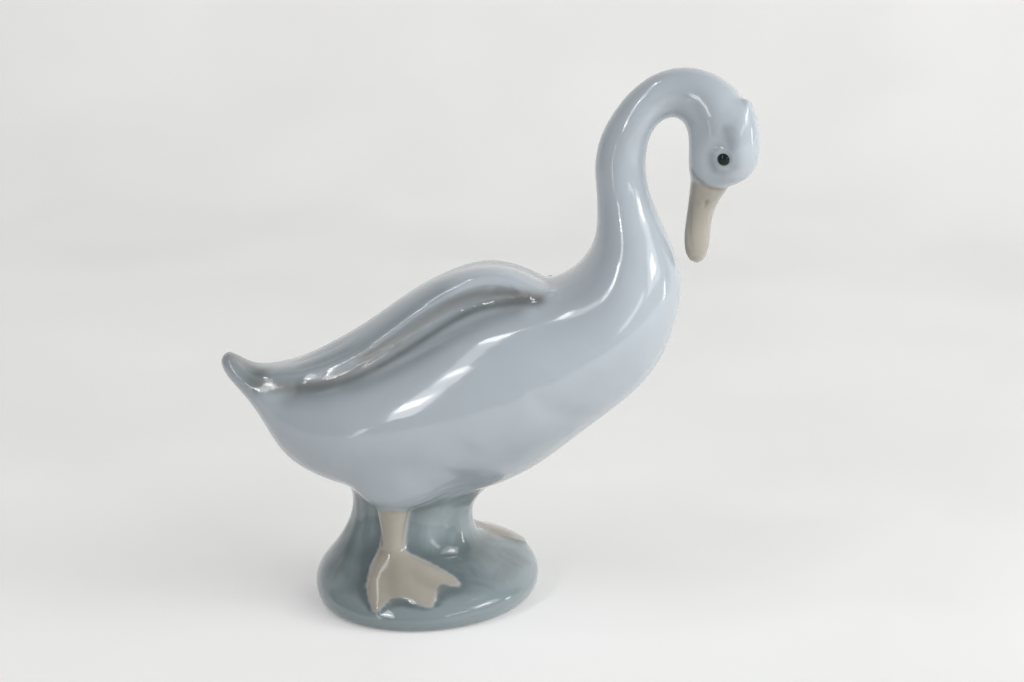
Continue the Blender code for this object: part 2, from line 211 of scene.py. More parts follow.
# A foot's toes lie on the mound: the bearing round it in degrees and the height of the
# ankle, then of each toe's bend and tip, in the order of their bearings. The lift is how far
# the web stands out of the mound. A bridge lifts it more between the ankle and a share of
# its length, and its front edge is scalloped between the toes.
RIGHT_FOOT = {
    "lift": 0.0011,
    "ankle": (-103, 0.0165),
    "toes": (
        ((-114, 0.0104), (-110, 0.0056)),
        ((-87, 0.0110), (-82, 0.0070)),
        ((-66, 0.0133), (-63, 0.0099)),
    ),
}
LEFT_FOOT = {
    "lift": 0.0016,
    "ankle": (52, 0.0160),
    "toes": (
        ((10, 0.0138), (26, 0.0106)),
        ((50, 0.0130), (50, 0.0098)),
        ((69, 0.0126), (74, 0.0078)),
    ),
}
TOE_LIFT = 0.0007
TOE_NARROWNESS = 3
WEB_BRIDGE = 0.0014
BRIDGE_ENDS = 0.8
WEB_SCALLOP = 0.24
SCALLOP_CURVE = 1.5
FOOT_SUNK = 0.0020
ANKLE_SPREAD = 8
FOOT_COLUMNS = 65
FOOT_ROWS = 33

# Skin: the voxel that fuses the forms, and the kinds of form and the ball round the head where
# its faces are cut in four
VOXEL = 0.00084
FINE_KINDS = ("crown", "bill", "wing", "leg", "foot")
FINE_HEAD = (Vector((0.0740, -0.003, 0.1150)), 0.0150)
FINE_MARGIN = 2

# Rounds of smoothing: of the fused forms, of all the skin, round the crown, inside the webs,
# and after the strokes by kind. A spread is the rounds that soften the edge of an area.
SMOOTHING_STEP = 0.8
POLISH = 3
SKIN_ROUNDS = 2
CROWN_ROUNDS = 45
CROWN_SPREAD = 12
WEB_ROUNDS = 60
WEB_SPREAD = 14
WEB_EDGE = (0.72, 0.92)
FINISH_SPREAD = 4
FINISHES = ((("body", "crown", "bill", "thigh", "mound"), 2), (("wing",), 8), (("foot",), 8))

# The wing tips melt into the tail behind this place, over this length
TIP_MELTS = -0.0310
TIP_FADE = 0.0070
TIP_ROUNDS = 100
TIP_SPREAD = 30
TIP_REACH = 2.5
TAIL_ROUNDS = 8

# Pairs of forms that meet, with the rounds of smoothing along their join
JOIN_REACH = 4
JOINS = (
    ("body", "thigh", 60),
    ("body", "mound", 30),
    ("body", "crown", 45),
    ("crown", "bill", 5),
    ("thigh", "mound", 16),
    ("wing", "body", 75),
    ("wing", "wing", 200),
    ("leg", "thigh", 16),
    ("leg", "mound", 14),
    ("leg", "foot", 24),
    ("bill", "body", 5),
    ("foot", "mound", 3),
)

# Brush: how a path is cut into steps and smoothed, the points of a ring, how many half widths
# the brush reaches, how far round a corner a tool and paint go, and the share of a stroke's
# length over which each end fades
PATH_STEPS = 8
PATH_SPACING = 1.3
PATH_ROUNDS = 12
RING_POINTS = 48
BRUSH_REACH = 2.4
TOOL_CORNER = 0.3
PAINT_CORNER = 1.3
STROKE_TAPER = 0.25

# Strokes press or raise the skin. Each has a height (below zero it presses in) and a half
# width in millimetres, then its line in pixels of the photograph.
BODY_STROKES = (
    # Wing: the lower edge of its side, the hollow above it, and the lobe and fold at the front
    (0.34, 0.65, (462, 301), (445, 310), (428, 319), (400, 337), (384, 351), (357, 371), (334, 381)),
    (0.22, 0.65, (345, 378), (334, 382), (309, 387), (288, 387), (268, 384)),
    (-0.26, 0.95, (500, 292), (470, 297), (450, 303), (422, 318), (397, 336), (377, 350),
     (350, 366), (320, 376), (290, 380)),
    (0.60, 1.50, (548, 292), (553, 295)),
    (0.35, 0.80, (512, 315), (524, 312), (538, 313)),
    # Long feathers at the rear of the wing
    (-0.30, 0.55, (366, 328), (352, 337), (338, 346), (313, 357), (290, 365), (267, 368)),
    (-0.28, 0.50, (362, 343), (347, 351), (325, 362), (302, 369), (279, 371)),
    (-0.26, 0.55, (378, 343), (360, 357), (346, 365), (320, 373), (290, 376), (262, 377)),
    # Rump under the wing tip, then the folds of breast, belly and thigh
    (0.45, 1.60, (260, 391), (272, 397), (290, 400), (308, 400), (330, 397), (350, 392)),
    (-0.35, 1.30, (262, 404), (280, 409), (305, 409), (335, 404)),
    (-0.32, 2.60, (520, 384), (538, 403), (556, 414), (576, 419), (596, 417), (612, 410)),
    (0.15, 3.00, (560, 398), (585, 404), (606, 398)),
    (-0.45, 3.60, (446, 484), (455, 468), (466, 454), (478, 444)),
    (0.40, 4.00, (390, 470), (405, 492)),
    (-0.25, 0.90, (682, 263), (676, 263)),
)
HEAD_STROKES = (
    # Step of the crown, the valley before it, the groove over the eye, the hollow of the cheek
    (0.55, 1.50, (744, 97), (747, 100), (749, 105)),
    (-0.30, 2.00, (744, 102), (737, 114), (731, 126), (728, 138)),
    (-0.35, 1.90, (725, 124), (729, 136), (733, 150)),
    (-0.25, 2.80, (698, 118), (697, 140), (697, 162)),
    # Feather line at the bill, the mouth, the nostril and the nail at the bill's tip
    (-0.45, 0.55, (692, 169), (696, 178), (704, 186), (714, 189.5), (724, 190), (731, 188)),
    (-0.32, 0.45, (692, 190), (690.5, 205), (689.5, 220), (689, 235), (690.5, 248), (694, 257)),
    (-0.55, 0.50, (706.8, 200.5), (705.6, 204), (704.6, 207.5)),
    (-0.16, 0.50, (692, 256), (697, 252.5), (702.5, 255)),
)
MOUND_STROKES = (
    # Grass round the column: upright blades, then blades that lie along the belly
    (0.17, 0.95, (440, 510), (424, 516), (416, 524), (414, 538)),
    (0.17, 0.95, (450, 508), (437, 516), (430, 525), (429, 540)),
    (0.17, 0.95, (459, 508), (447, 518), (442, 528), (441, 544)),
    (0.15, 1.00, (466, 511), (457, 521), (454, 532), (453, 548)),
    (0.24, 0.60, (484, 489), (466, 498), (446, 509)),
    (0.24, 0.60, (478, 487), (458, 494), (434, 507)),
    (0.24, 0.60, (462, 489), (440, 499), (418, 509)),
    (-0.20, 0.45, (482, 488), (462, 496), (440, 508)),
    (-0.20, 0.45, (470, 488), (449, 496), (426, 508)),
    (0.17, 0.95, (354, 495), (354, 510), (349, 525), (340, 536)),
    (0.17, 0.95, (364, 503), (365, 518), (361, 532), (352, 544)),
    (0.15, 0.95, (372, 511), (374, 526), (371, 540)),
)
FOOT_STROKES = (
    # Three toes, the front edges of the web between them, two hollows in it, and the spur
    (0.30, 1.05, (386, 553), (379, 563), (375, 577), (374, 592), (376, 608)),
    (0.34, 1.10, (397, 554), (402, 566), (412, 581), (422, 594), (432, 602)),
    (0.30, 1.05, (400, 551), (412, 559), (427, 567), (444, 576), (459, 584)),
    (0.30, 0.55, (384, 607), (391, 601), (402, 597.5), (414, 599), (425, 604)),
    (0.30, 0.55, (433, 599), (436, 591), (444, 587), (456, 584.5)),
    (-0.20, 1.80, (392, 572), (392, 586), (394, 594)),
    (-0.20, 1.70, (416, 574), (424, 583), (431, 590)),
    (1.30, 0.80, (382, 550), (380, 551)),
)

# Hollow along the top of the tail: its height and half width in mm, then its line as x, z
TAIL_LINE = ((-0.0500, 0.0655), (-0.0470, 0.0635), (-0.0430, 0.0605), (-0.0385, 0.0590))
TAIL_SCOOP = (-0.6, 3.4, TAIL_LINE)
SCOOP_STEPS = 24
SCOOP_TAPER = 0.15

# Flutes round the mound's column: how many, how high, the heights where they fade in and out,
# the middle of the column, how they sway and how they lean
FLUTES = 23
FLUTE_HEIGHT = 0.00006
FLUTE_BAND = (0.0125, 0.0190, 0.0290, 0.0340)
FLUTE_MIDDLE = -0.004
FLUTE_SWAY = (1.6, 3)
FLUTE_LEAN = 160
FLUTE_SPREAD = 6

# Airbrushed tints and painted shade, laid on like the strokes: mask, strength, half width in mm,
# then pixels
TINTS_AND_SHADE = (
    # Painted shade in the hollow under the wing's lip and on the wing's side above it, in warm,
    # green and cool greys
    ("warm", 0.55, 1.9, (538, 298), (508, 293), (480, 292), (455, 300), (425, 319), (395, 340),
     (362, 360)),
    ("warm", 0.50, 1.2, (400, 343), (375, 360), (345, 375), (315, 385), (285, 388), (262, 384)),
    ("green", 0.78, 1.9, (538, 301), (510, 303), (482, 306), (454, 319), (422, 341), (392, 359),
     (362, 377), (330, 386), (300, 390)),
    ("green", 0.50, 1.3, (372, 368), (350, 379), (325, 388), (300, 390), (272, 389)),
    ("cool", 0.60, 3.0, (515, 312), (480, 322), (445, 342), (405, 366), (360, 387), (325, 395),
     (290, 398)),
    ("cool", 0.55, 3.4, (440, 290), (400, 318), (360, 348), (320, 366), (280, 374)),
    # The tail's grey-green: airbrushed, with painted shade in its hollow
    ("green", 0.95, 3.4, (260, 371), (250, 366), (242, 361), (234, 356)),
    ("green", 0.62, 2.6, (256, 386), (246, 378), (238, 368), (231, 358)),
    # Painted shade under the wing's tip
    ("cool", 0.70, 2.6, (300, 383), (282, 383), (266, 382), (254, 380)),
    # Painted shade where the belly meets the mound, and under the belly
    ("cool", 0.24, 4.4, (440, 488), (460, 481), (478, 475)),
    ("cool", 0.22, 6.0, (520, 452), (545, 440), (570, 428)),
)
HEAD_TINTS_AND_SHADE = (
    # Painted shade in the groove over the eye, under the eye and on the back of the head
    ("cool", 0.60, 1.5, (726, 130), (729, 140), (732, 150), (735, 158), (734, 166)),
    ("cool", 0.60, 1.2, (712, 156), (711, 163), (715, 169)),
    ("cool", 0.16, 5.0, (700, 96), (706, 112), (712, 128)),
    ("warm", 0.80, 0.6, (692, 170), (696, 178), (704, 186), (714, 189), (726, 189)),
    ("warm", 1.00, 0.65, (706.8, 201.5), (705.9, 204), (705.0, 206.5)),
    ("warm", 0.60, 0.9, (694, 257), (698, 258)),
    ("warm", 0.45, 2.8, (700, 206), (697, 220), (695, 235), (695, 250)),
)
FOOT_TINTS = (
    ("warm", 0.45, 2.4, (391, 568), (390, 584), (394, 594)),
    ("warm", 0.45, 2.2, (415, 573), (425, 583), (436, 586)),
    ("warm", 0.45, 1.6, (480, 527), (494, 533), (505, 537)),
)

# Masks: how far the mound's blue and the peach fade, and how hollows are found, where the glaze
# pools and where shade is painted into the creases
BLUE_SPREAD = 5
PEACH_SPREAD = 2
HOLLOW_SPREAD = 6
HOLLOW_DEPTH = 0.00002

# Eye: its pixel, its bead's radius and how deep that sits. The socket is a depth and a half
# width in mm, and the lid, the ring round it and the shade also have a radius in metres.
EYE_PIXEL = (723, 160)
EYE_BEAD = 0.00165
EYE_SUNK = 0.00050
EYE_SOCKET = (-0.55, 2.3)
EYE_LID = (0.17, 0.55, 0.00230)
EYE_ORBIT = (-0.14, 1.40, 0.00430)
EYE_SHADE = (0.30, 1.1, 0.00330)

# Colours of the glaze and of the paint under it, whose greys also paint shade, then of the eyes,
# the specks and the paper
WHITE = (0.500, 0.553, 0.600)
SKY_BLUE = (0.128, 0.162, 0.168)
PALE_BLUE = (0.250, 0.302, 0.318)
COLUMN_BLUE = (0.370, 0.440, 0.460)
PEACH = (0.410, 0.380, 0.325)
COOL_GREY = (0.215, 0.250, 0.270)
GREEN_GREY = (0.105, 0.120, 0.112)
WARM_GREY = (0.285, 0.250, 0.200)
BLACK = (0.003, 0.008, 0.007)
GREEN_BLACK = (0.006, 0.018, 0.016)
SPECK_BROWN = (0.12, 0.12, 0.11)
PAPER_WHITE = (0.78, 0.775, 0.765)
PAPER_GREY = (0.74, 0.735, 0.72)

# Scales of the noises in the materials, per metre
CLOUD_SCALE = 55.0
GRAIN_SCALE = 420.0
WATER_SCALE = 95.0
WATER_STRETCH = (1.0, 1.0, 0.45)
BREAK_SCALE = 210.0
WAVE_SCALE = 120.0
SPECK_SCALE = 95.0
EYE_SCALE = 900.0
PAPER_SCALE = 9.0

# Ramps in the materials: low and high of what drives them, then what comes out at each, if
# that isn't 0 and 1
CLOUDING = (0.35, 0.65, 0.0, 0.55)
GRAINING = (0.3, 0.7, 0.0, 0.35)
THIN_GLAZE = (0.30, 1.10)
DEEP_GLAZE = (0.75, 1.9)
COLUMN_PALES = (0.0145, 0.0215, 0.0, 0.7)
COLUMN_STREAKS = (0.3, 0.7, 0.5, 1.0)
TINT_BREAKS = (0.2, 0.8, 0.85, 1.0)
CREASE_SHADE = (0.35, 2.2, 0.0, 0.30)
SPECK_SIZE = (0.016, 0.030, 1.0, 0.0)
SPECK_RARITY = (0.90, 0.92)
GLAZE_ROUGHNESS = (0.3, 0.7, 0.10, 0.16)
EYE_ROUGHNESS = (0.3, 0.7, 0.02, 0.05)

# Even values of the shaders, and how much lighter the camera sees the paper
GLAZE_BODY = (
    ("IOR", 1.5),
    ("Coat Weight", 0.6),
    ("Coat Roughness", 0.03),
    ("Subsurface Weight", 0.12),
    ("Subsurface Radius", (1.0, 0.9, 0.8)),
    ("Subsurface Scale", 0.0012),
)
EYE_GLOSS = 0.32
PAPER_ROUGHNESS = 0.9
PAPER_GLOW = 0.34

# The world's light, and the lamps: name, low end, high end, distance, width and brightness.
# An end is its azimuth and elevation in degrees, as aimed() takes them.
WORLD_COLOUR = (0.95, 0.98, 1.0)
WORLD_STRENGTH = 0.24
LAMP_TARGET = Vector((0.015, 0, 0.07))
LAMPS = (
    ("window_low", (-42, -6), (-38, 10), 1.0, 0.06, 3.0),
    ("window_middle", (-30, 16), (-46, 53), 1.0, 0.14, 4.2),
    ("window_top", (-48, 52), (-96, 70), 1.0, 0.10, 2.8),
    ("core_low", (-34, 27), (-38, 35), 0.98, 0.08, 9.0),
    ("core_middle", (-44, 49), (-48, 54), 0.98, 0.08, 9.0),
    ("core_top", (-84, 68), (-96, 71), 0.98, 0.09, 7.0),
    ("side_window", (76, 14), (76, 36), 1.0, 0.50, 1.9),
    ("side_core", (74, 21), (74, 30), 0.98, 0.22, 6.0),
    ("side_low", (98, -5), (98, 7), 0.98, 0.07, 6.0),
    ("low_window", (30, 12), (56, 20), 1.0, 0.12, 2.5),
    ("room", (58, -8), (58, 50), 1.4, 2.0, 1.8),
)
NOT_MIRRORED = ("room",)

# Stage: the floor's near end, where it curves up and by what radius, the backdrop's top, and
# half the width of both
FLOOR_NEAR = -1.2
CURVE_STARTS = 0.45
CURVE_RADIUS = 0.35
CURVE_STEPS = 16
BACKDROP_TOP = 1.6
STAGE_REACH = 1.6

# Camera: it looks along +Y, pitched down, at a point given in metres
LENS = 89.3
SENSOR = 36.0
VIEW_DISTANCE = 0.635
VIEW_PITCH = math.radians(13)
VIEW_TARGET = Vector((0.0215, 0.0, 0.0664))
FRAME_WIDTH = 1024
FRAME_HEIGHT = 682


def spline(stations, steps):
    """Rows along the cubic B-spline of the stations, from the first to the last of them."""
    rows = np.array(stations, float)
    rows = np.vstack([2 * rows[0] - rows[1], rows, 2 * rows[-1] - rows[-2]])
    curve = []
    for span in range(len(stations) - 1):
        for t in np.arange(steps) / steps:
            weights = ((1 - t) ** 3, 3 * t**3 - 6 * t**2 + 4, 1 + 3 * t * (1 + t - t * t), t**3)
            curve.append(np.array(weights) @ rows[span : span + 4] / 6)
    return [*curve, np.array(stations[-1], float)]


def oval(centre, up, side, sides):
    """A ring of points round an ellipse with these half axes."""
    angles = [2 * math.pi * k / sides for k in range(sides)]
    return [centre + up * math.cos(a) + side * math.sin(a) for a in angles]


def side_ring(row, sides):
    """A ring between the two rails of a side loft."""
    back = Vector((row[0], 0, row[1]))
    belly = Vector((row[2], 0, row[3]))
    return oval((back + belly) / 2, (back - belly) / 2, Vector((0, row[4], 0)), sides)


def turned(points, amount):
    """The points turned about the head's upright axis, by that share of the head's turn."""
    axis = Vector((TURN_AXIS_X, 0, 0))
    turn = Matrix.Rotation(-HEAD_TURN * amount, 3, "Z")
    return [turn @ (point - axis) + axis for point in points]


def turn_share(station):
    """How much of the head's turn the neck has made at a station of BODY."""
    t = min(max((station - TURN_STARTS) / (TURN_ENDS - TURN_STARTS), 0), 1)
    return t * t * (3 - 2 * t)


def body_rings():
    rows = spline(BODY, BODY_STEPS)
    return [
        turned(side_ring(row, BODY_SIDES), turn_share(k / BODY_STEPS))
        for k, row in enumerate(rows)
    ]


def head_rings(stations):
    """Rings of a side loft that turns with the head."""
    return [turned(side_ring(row, HEAD_SIDES), 1.0) for row in spline(stations, LOFT_STEPS)]


def wing_rings(side):
    """Rings of one wing in upright sections: side is 1 for the right wing and -1 for the left."""
    rings = []
    for x, inner_y, inner_z, lip_y, lip_z, thickness in spline(WING, LOFT_STEPS):
        inner = Vector((x, inner_y * side + WING_SEAM, inner_z))
        lip = Vector((x, lip_y * side + WING_SEAM, lip_z))
        across = (inner - lip) / 2
        out = Vector((1, 0, 0)).cross(across).normalized() * thickness * side
        ring = oval((inner + lip) / 2, across, out, WING_SIDES)
        for k, point in enumerate(ring):
            angle = 2 * math.pi * k / WING_SIDES
            share = across.length / WING_FULL
            point.z -= WING_ROOT * share * (1 + math.cos(angle)) / 2 * max(-math.sin(angle), 0)
        rings.append(ring)
    return rings


def limb_rings(stations, side, forward):
    """Rings of a thigh or leg: side is 1 for the right one and -1 for the left."""
    rings = []
    for z, x, y, half_x, half_y in spline(stations, LOFT_STEPS):
        centre = Vector((x + forward, y * side, z))
        rings.append(oval(centre, Vector((half_x, 0, 0)), Vector((0, half_y, 0)), LEG_SIDES))
    return rings


def mound_oval(row, bearing, outward=0.0):
    """The point on the mound's skin at a bearing in radians, moved outward in the level plane."""
    z, back, front, right, left, shoulder = row
    away = (bearing - SHOULDER_BEARING + math.pi) % (2 * math.pi) - math.pi
    outward += shoulder * math.exp(-((away / SHOULDER_SPREAD) ** 2))
    half_x = (front - back) / 2 + outward
    half_y = (left - right) / 2 + outward
    lean = MOUND_LEAN * max(1 - z / MOUND_TAPER, 0)
    y = (left + right) / 2 + half_y * math.sin(bearing)
    x = (front + back) / 2 + half_x * math.cos(bearing) + lean * y
    return Vector((x, y, z))


def mound_rings():
    bearings = [2 * math.pi * k / MOUND_SIDES for k in range(MOUND_SIDES)]
    return [[mound_oval(row, b) for b in bearings] for row in spline(MOUND, MOUND_STEPS)]


def mound_row_at(height):
    """The mound's row at a height, read off its spline above the rim."""
    return [np.interp(height, MOUND_ROWS[:, 0], MOUND_ROWS[:, k]) for k in range(6)]


MOUND_ROWS = np.array(sorted(tuple(row) for row in spline(MOUND, MOUND_FINE_STEPS) if row[0] > 0))


def toe_point(foot, toe, along):
    """Bearing and height of a point on a toe, by a curve through its ankle, bend and tip."""
    ankle = Vector(foot["ankle"])
    bend, tip = (Vector(end) for end in foot["toes"][toe])
    return ankle * (1 - along) ** 2 + bend * 2 * along * (1 - along) + tip * along**2


def foot_rings(foot):
    """Rings across a webbed foot from one side toe to the other. Each ring runs from the ankle
    along the top to the front edge, and back inside the mound."""
    rings = []
    for column in range(FOOT_COLUMNS):
        across = 2 * column / (FOOT_COLUMNS - 1)
        toe = min(int(across), 1)
        share = across - toe
        reach = 1 - WEB_SCALLOP * math.sin(math.pi * share) ** SCALLOP_CURVE
        lift = foot["lift"] + TOE_LIFT * abs(math.cos(math.pi * share)) ** TOE_NARROWNESS
        top = []
        sunk = []
        for row in range(FOOT_ROWS):
            along = reach * row / (FOOT_ROWS - 1)
            near = toe_point(foot, toe, along) * (1 - share)
            bearing, height = near + toe_point(foot, toe + 1, along) * share
            bearing = math.radians(bearing + ANKLE_SPREAD * (across - 1) * (1 - along))
            bridge = WEB_BRIDGE * math.sin(math.pi * min(along / BRIDGE_ENDS, 1))
            top.append(mound_oval(mound_row_at(height), bearing, lift + bridge))
            sunk.append(mound_oval(mound_row_at(height), bearing, -FOOT_SUNK))
        rings.append(top + sunk[::-1])
        if column in (0, FOOT_COLUMNS - 1):
            side_wall = sunk + sunk[::-1]
            rings.insert(0 if column == 0 else len(rings), side_wall)
    return rings


def placed(name, data):
    """A new object of the scene that holds this data."""
    holder = bpy.data.objects.new(name, data)
    bpy.context.scene.collection.objects.link(holder)
    return holder


def smooth_piece(name, bm):
    """A new piece with a smooth surface, from a bmesh that it uses up."""
    mesh = bpy.data.meshes.new(name)
    bm.to_mesh(mesh)
    bm.free()
    mesh.shade_smooth()
    return placed(name, mesh)


def loft(rings, capped=False):
    """Points and faces of a closed loft through rings of equal count."""
    bm = bmesh.new()
    loops = [[bm.verts.new(point) for point in ring] for ring in rings]
    if capped:
        bm.faces.new(loops[0])
        bm.faces.new(loops[-1])
    for low, high in zip(loops, loops[1:]):
        for k in range(len(low)):
            after = (k + 1) % len(low)
            bm.faces.new((low[k], low[after], high[after], high[k]))
    bmesh.ops.remove_doubles(bm, verts=bm.verts, dist=MERGE_DISTANCE)
    bmesh.ops.recalc_face_normals(bm, faces=bm.faces)
    points = [vertex.co.copy() for vertex in bm.verts]
    bm.verts.index_update()
    faces = [[vertex.index for vertex in face.verts] for face in bm.faces]
    bm.free()
    return points, faces


def all_forms():
    """Every form of the figurine, by the name of its kind."""
    return [
        ("body", loft(body_rings())),
        ("crown", loft(head_rings(CROWN))),
        ("bill", loft(head_rings(BILL))),
        ("wing", loft(wing_rings(1))),
        ("wing", loft(wing_rings(-1))),
        ("mound", loft(mound_rings(), capped=True)),
        ("thigh", loft(limb_rings(THIGH, 1, 0.0))),
        ("thigh", loft(limb_rings(THIGH, -1, STRIDE))),
        ("leg", loft(limb_rings(LEG, 1, 0.0))),
        ("leg", loft(limb_rings(LEG, -1, STRIDE))),
        ("foot", loft(foot_rings(RIGHT_FOOT))),
        ("foot", loft(foot_rings(LEFT_FOOT))),
    ]


def gathered(forms):
    """The points and faces of all the forms together, and the number of each face's form."""
    points = []
    faces = []
    owner = []
    for number, (_, (form_points, form_faces)) in enumerate(forms):
        faces += [[index + len(points) for index in face] for face in form_faces]
        points += form_points
        owner += [number] * len(form_faces)
    return points, faces, owner


def fused(forms):
    """One mesh over all the forms, from a voxel remesh of them together."""
    points, faces, _ = gathered(forms)
    mesh = bpy.data.meshes.new("forms")
    mesh.from_pydata(points, [], faces)
    rough = placed("forms", mesh)
    remesh = rough.modifiers.new("fuse", "REMESH")
    remesh.mode = "VOXEL"
    remesh.voxel_size = VOXEL
    graph = bpy.context.evaluated_depsgraph_get()
    skin = bpy.data.meshes.new_from_object(rough.evaluated_get(graph))
    bpy.data.objects.remove(rough)
    return skin


def array_of(items, attribute, width):
    values = np.empty(len(items) * width, np.float32 if attribute != "vertices" else np.int32)
    items.foreach_get(attribute, values)
    return values.reshape(-1, width) if width > 1 else values


class Guide:
    """The surfaces of all the forms, as they were lofted."""

    def __init__(self, forms):
        points, faces, owner = gathered(forms)
        self.kinds = np.array([kind for kind, _ in forms])
        self.owner = np.array(owner)
        self.tree = BVHTree.FromPolygons(points, faces)

    def nearest(self, points):
        """For each point, the place on the nearest form and that form's number."""
        found = [self.tree.find_nearest(point) for point in points.tolist()]
        places = np.array([place[:] for place, _, _, _ in found])
        return places, self.owner[[index for _, _, index, _ in found]]


def refined(mesh, guide):
    """The mesh with its faces cut in four where the figurine's detail is fine."""
    points = array_of(mesh.vertices, "co", 3).astype(float)
    _, form = guide.nearest(points)
    centre, radius = FINE_HEAD
    fine = np.isin(guide.kinds[form], FINE_KINDS)
    fine |= np.linalg.norm(points - np.array(centre), axis=1) < radius
    edges = array_of(mesh.edges, "vertices", 2)
    for _ in range(FINE_MARGIN):
        wider = fine.copy()
        wider[edges[fine[edges[:, 0]], 1]] = True
        wider[edges[fine[edges[:, 1]], 0]] = True
        fine = wider
    bm = bmesh.new()
    bm.from_mesh(mesh)
    bm.edges.ensure_lookup_table()
    chosen = [bm.edges[k] for k in np.flatnonzero(fine[edges].all(axis=1))]
    bmesh.ops.subdivide_edges(bm, edges=chosen, cuts=1, use_grid_fill=True)
    bm.to_mesh(mesh)
    bm.free()
    return mesh


class Skin:
    """The figurine's surface as arrays: its points, their neighbours, and the form each is on."""

    def __init__(self, mesh, guide):
        self.mesh = mesh
        self.guide = guide
        self.points = array_of(mesh.vertices, "co", 3).astype(float)
        edges = array_of(mesh.edges, "vertices", 2)
        self.first, self.second = edges[:, 0], edges[:, 1]
        count = len(self.points)
        self.valence = np.bincount(self.first, minlength=count)
        self.valence = self.valence + np.bincount(self.second, minlength=count)
        self.smooth(np.ones(count), POLISH)
        self.points, self.form = guide.nearest(self.points)
        self.eyes = []

    def mean_of_neighbours(self, values):
        """Each point's average of a value over the points that it shares an edge with."""
        count = len(self.points)
        total = np.bincount(self.first, weights=values[self.second], minlength=count)
        total += np.bincount(self.second, weights=values[self.first], minlength=count)
        return total / self.valence

    def spread(self, values, rounds):
        """A value diffused over the surface."""
        for _ in range(rounds):
            values = (values + self.mean_of_neighbours(values)) / 2
        return values

    def pull(self):
        """How far each point is from the middle of its neighbours, as a vector."""
        means = [self.mean_of_neighbours(self.points[:, axis]) for axis in range(3)]
        return np.stack(means, axis=1) - self.points

    def smooth(self, weight, rounds):
        for _ in range(rounds):
            self.points += self.pull() * weight[:, None] * SMOOTHING_STEP

    def normals(self):
        self.store()
        return array_of(self.mesh.vertices, "normal", 3).astype(float)

    def store(self):
        self.mesh.vertices.foreach_set("co", self.points.astype(np.float32).ravel())
        self.mesh.update()

    def build_tree(self):
        polygons = [face.vertices[:] for face in self.mesh.polygons]
        self.tree = BVHTree.FromPolygons(self.points.tolist(), polygons)
        self.facing = self.normals()

    def seen_path(self, pixels):
        """The skin's places and normals along a smooth line of photograph pixels."""
        line = np.array(spline(pixels, PATH_STEPS) if len(pixels) > 1 else pixels, float)
        steps = np.linalg.norm(np.diff(line, axis=0), axis=1)
        run = np.concatenate([[0], np.cumsum(steps)])
        marks = np.linspace(0, run[-1], int(run[-1] / PATH_SPACING) + 1)
        pixels = np.stack([np.interp(marks, run, line[:, axis]) for axis in range(2)], axis=1)
        hits = [self.tree.ray_cast(*pixel_ray(*pixel)) for pixel in pixels.tolist()]
        hits = [hit for hit in hits if hit[0] is not None]
        path = np.array([(*hit[0], *hit[1]) for hit in hits])
        for _ in range(PATH_ROUNDS if len(path) > 2 else 0):
            path[1:-1] = (path[:-2] + 2 * path[1:-1] + path[2:]) / 4
        facing = path[:, 3:] / np.linalg.norm(path[:, 3:], axis=1)[:, None]
        return path[:, :3], facing

    def near_path(self, points):
        """The skin's places and normals nearest to points in space."""
        hits = [self.tree.find_nearest(point) for point in points]
        return np.array([hit[0][:] for hit in hits]), np.array([hit[1][:] for hit in hits])

    def ring_path(self, centre, out, radius):
        """A round path on the skin about a place."""
        level = out.orthogonal().normalized()
        return self.near_path(oval(centre, level * radius, out.cross(level) * radius, RING_POINTS))

    def brushed(self, path, width, taper, corner):
        """The points near a path, and how strongly a soft brush touches each of them."""
        places, facing = path
        width *= MM
        reach = BRUSH_REACH * width
        low, high = places.min(axis=0) - reach, places.max(axis=0) + reach
        near = np.flatnonzero(((self.points > low) & (self.points < high)).all(axis=1))
        gaps = np.linalg.norm(self.points[near, None] - places, axis=2)
        closest = gaps.argmin(axis=1)
        touch = np.exp(-((gaps.min(axis=1) / width) ** 2))
        alike = (self.facing[near] * facing[closest]).sum(axis=1)
        touch *= np.clip(alike * 2 + corner, 0, 1)
        if taper and len(places) > 1:
            along = closest / (len(places) - 1)
            ends = np.clip(np.minimum(along, 1 - along) / taper, 0, 1)
            touch *= ends * ends * (3 - 2 * ends)
        return near, touch

    def press(self, path, height, width, taper=STROKE_TAPER):
        """Raises the skin along a path, by a height in mm, or presses it in below zero."""
        near, touch = self.brushed(path, width, taper, TOOL_CORNER)
        self.points[near] += self.facing[near] * (touch * (height * MM))[:, None]
        self.facing = self.normals()

    def tint(self, mask, path, strength, width):
        """Paints a mask along a path, where the paint there is weaker."""
        near, touch = self.brushed(path, width, 0.0, PAINT_CORNER)
        mask[near] = np.maximum(mask[near], touch * strength)

    def is_on(self, *kinds):
        """Which points lie on a form of these kinds."""
        return np.isin(self.guide.kinds[self.form], kinds)

    def near(self, *kinds, spread):
        """How near each point is to these kinds: 1 well inside them, fading over the spread."""
        return self.spread(self.is_on(*kinds) * 1.0, spread)


def pixel_ray(across, down):
    """Start and direction of the camera's ray through a pixel of the photograph."""
    focal = LENS / SENSOR * FRAME_WIDTH
    ahead = Vector((0, math.cos(VIEW_PITCH), -math.sin(VIEW_PITCH)))
    up = Vector((0, math.sin(VIEW_PITCH), math.cos(VIEW_PITCH)))
    right = Vector((1, 0, 0))
    ray = ahead + (right * (across - FRAME_WIDTH / 2) + up * (FRAME_HEIGHT / 2 - down)) / focal
    return VIEW_TARGET - ahead * VIEW_DISTANCE, ray.normalized()


def mirrored(path, turn):
    """The path's mirror image: in the body's middle plane, or in the turned head's."""
    places, facing = path
    across = np.array((math.sin(turn), math.cos(turn), 0))
    axis = np.array((TURN_AXIS_X, 0, 0))
    places = places - 2 * ((places - axis) @ across)[:, None] * across
    return places, facing - 2 * (facing @ across)[:, None] * across


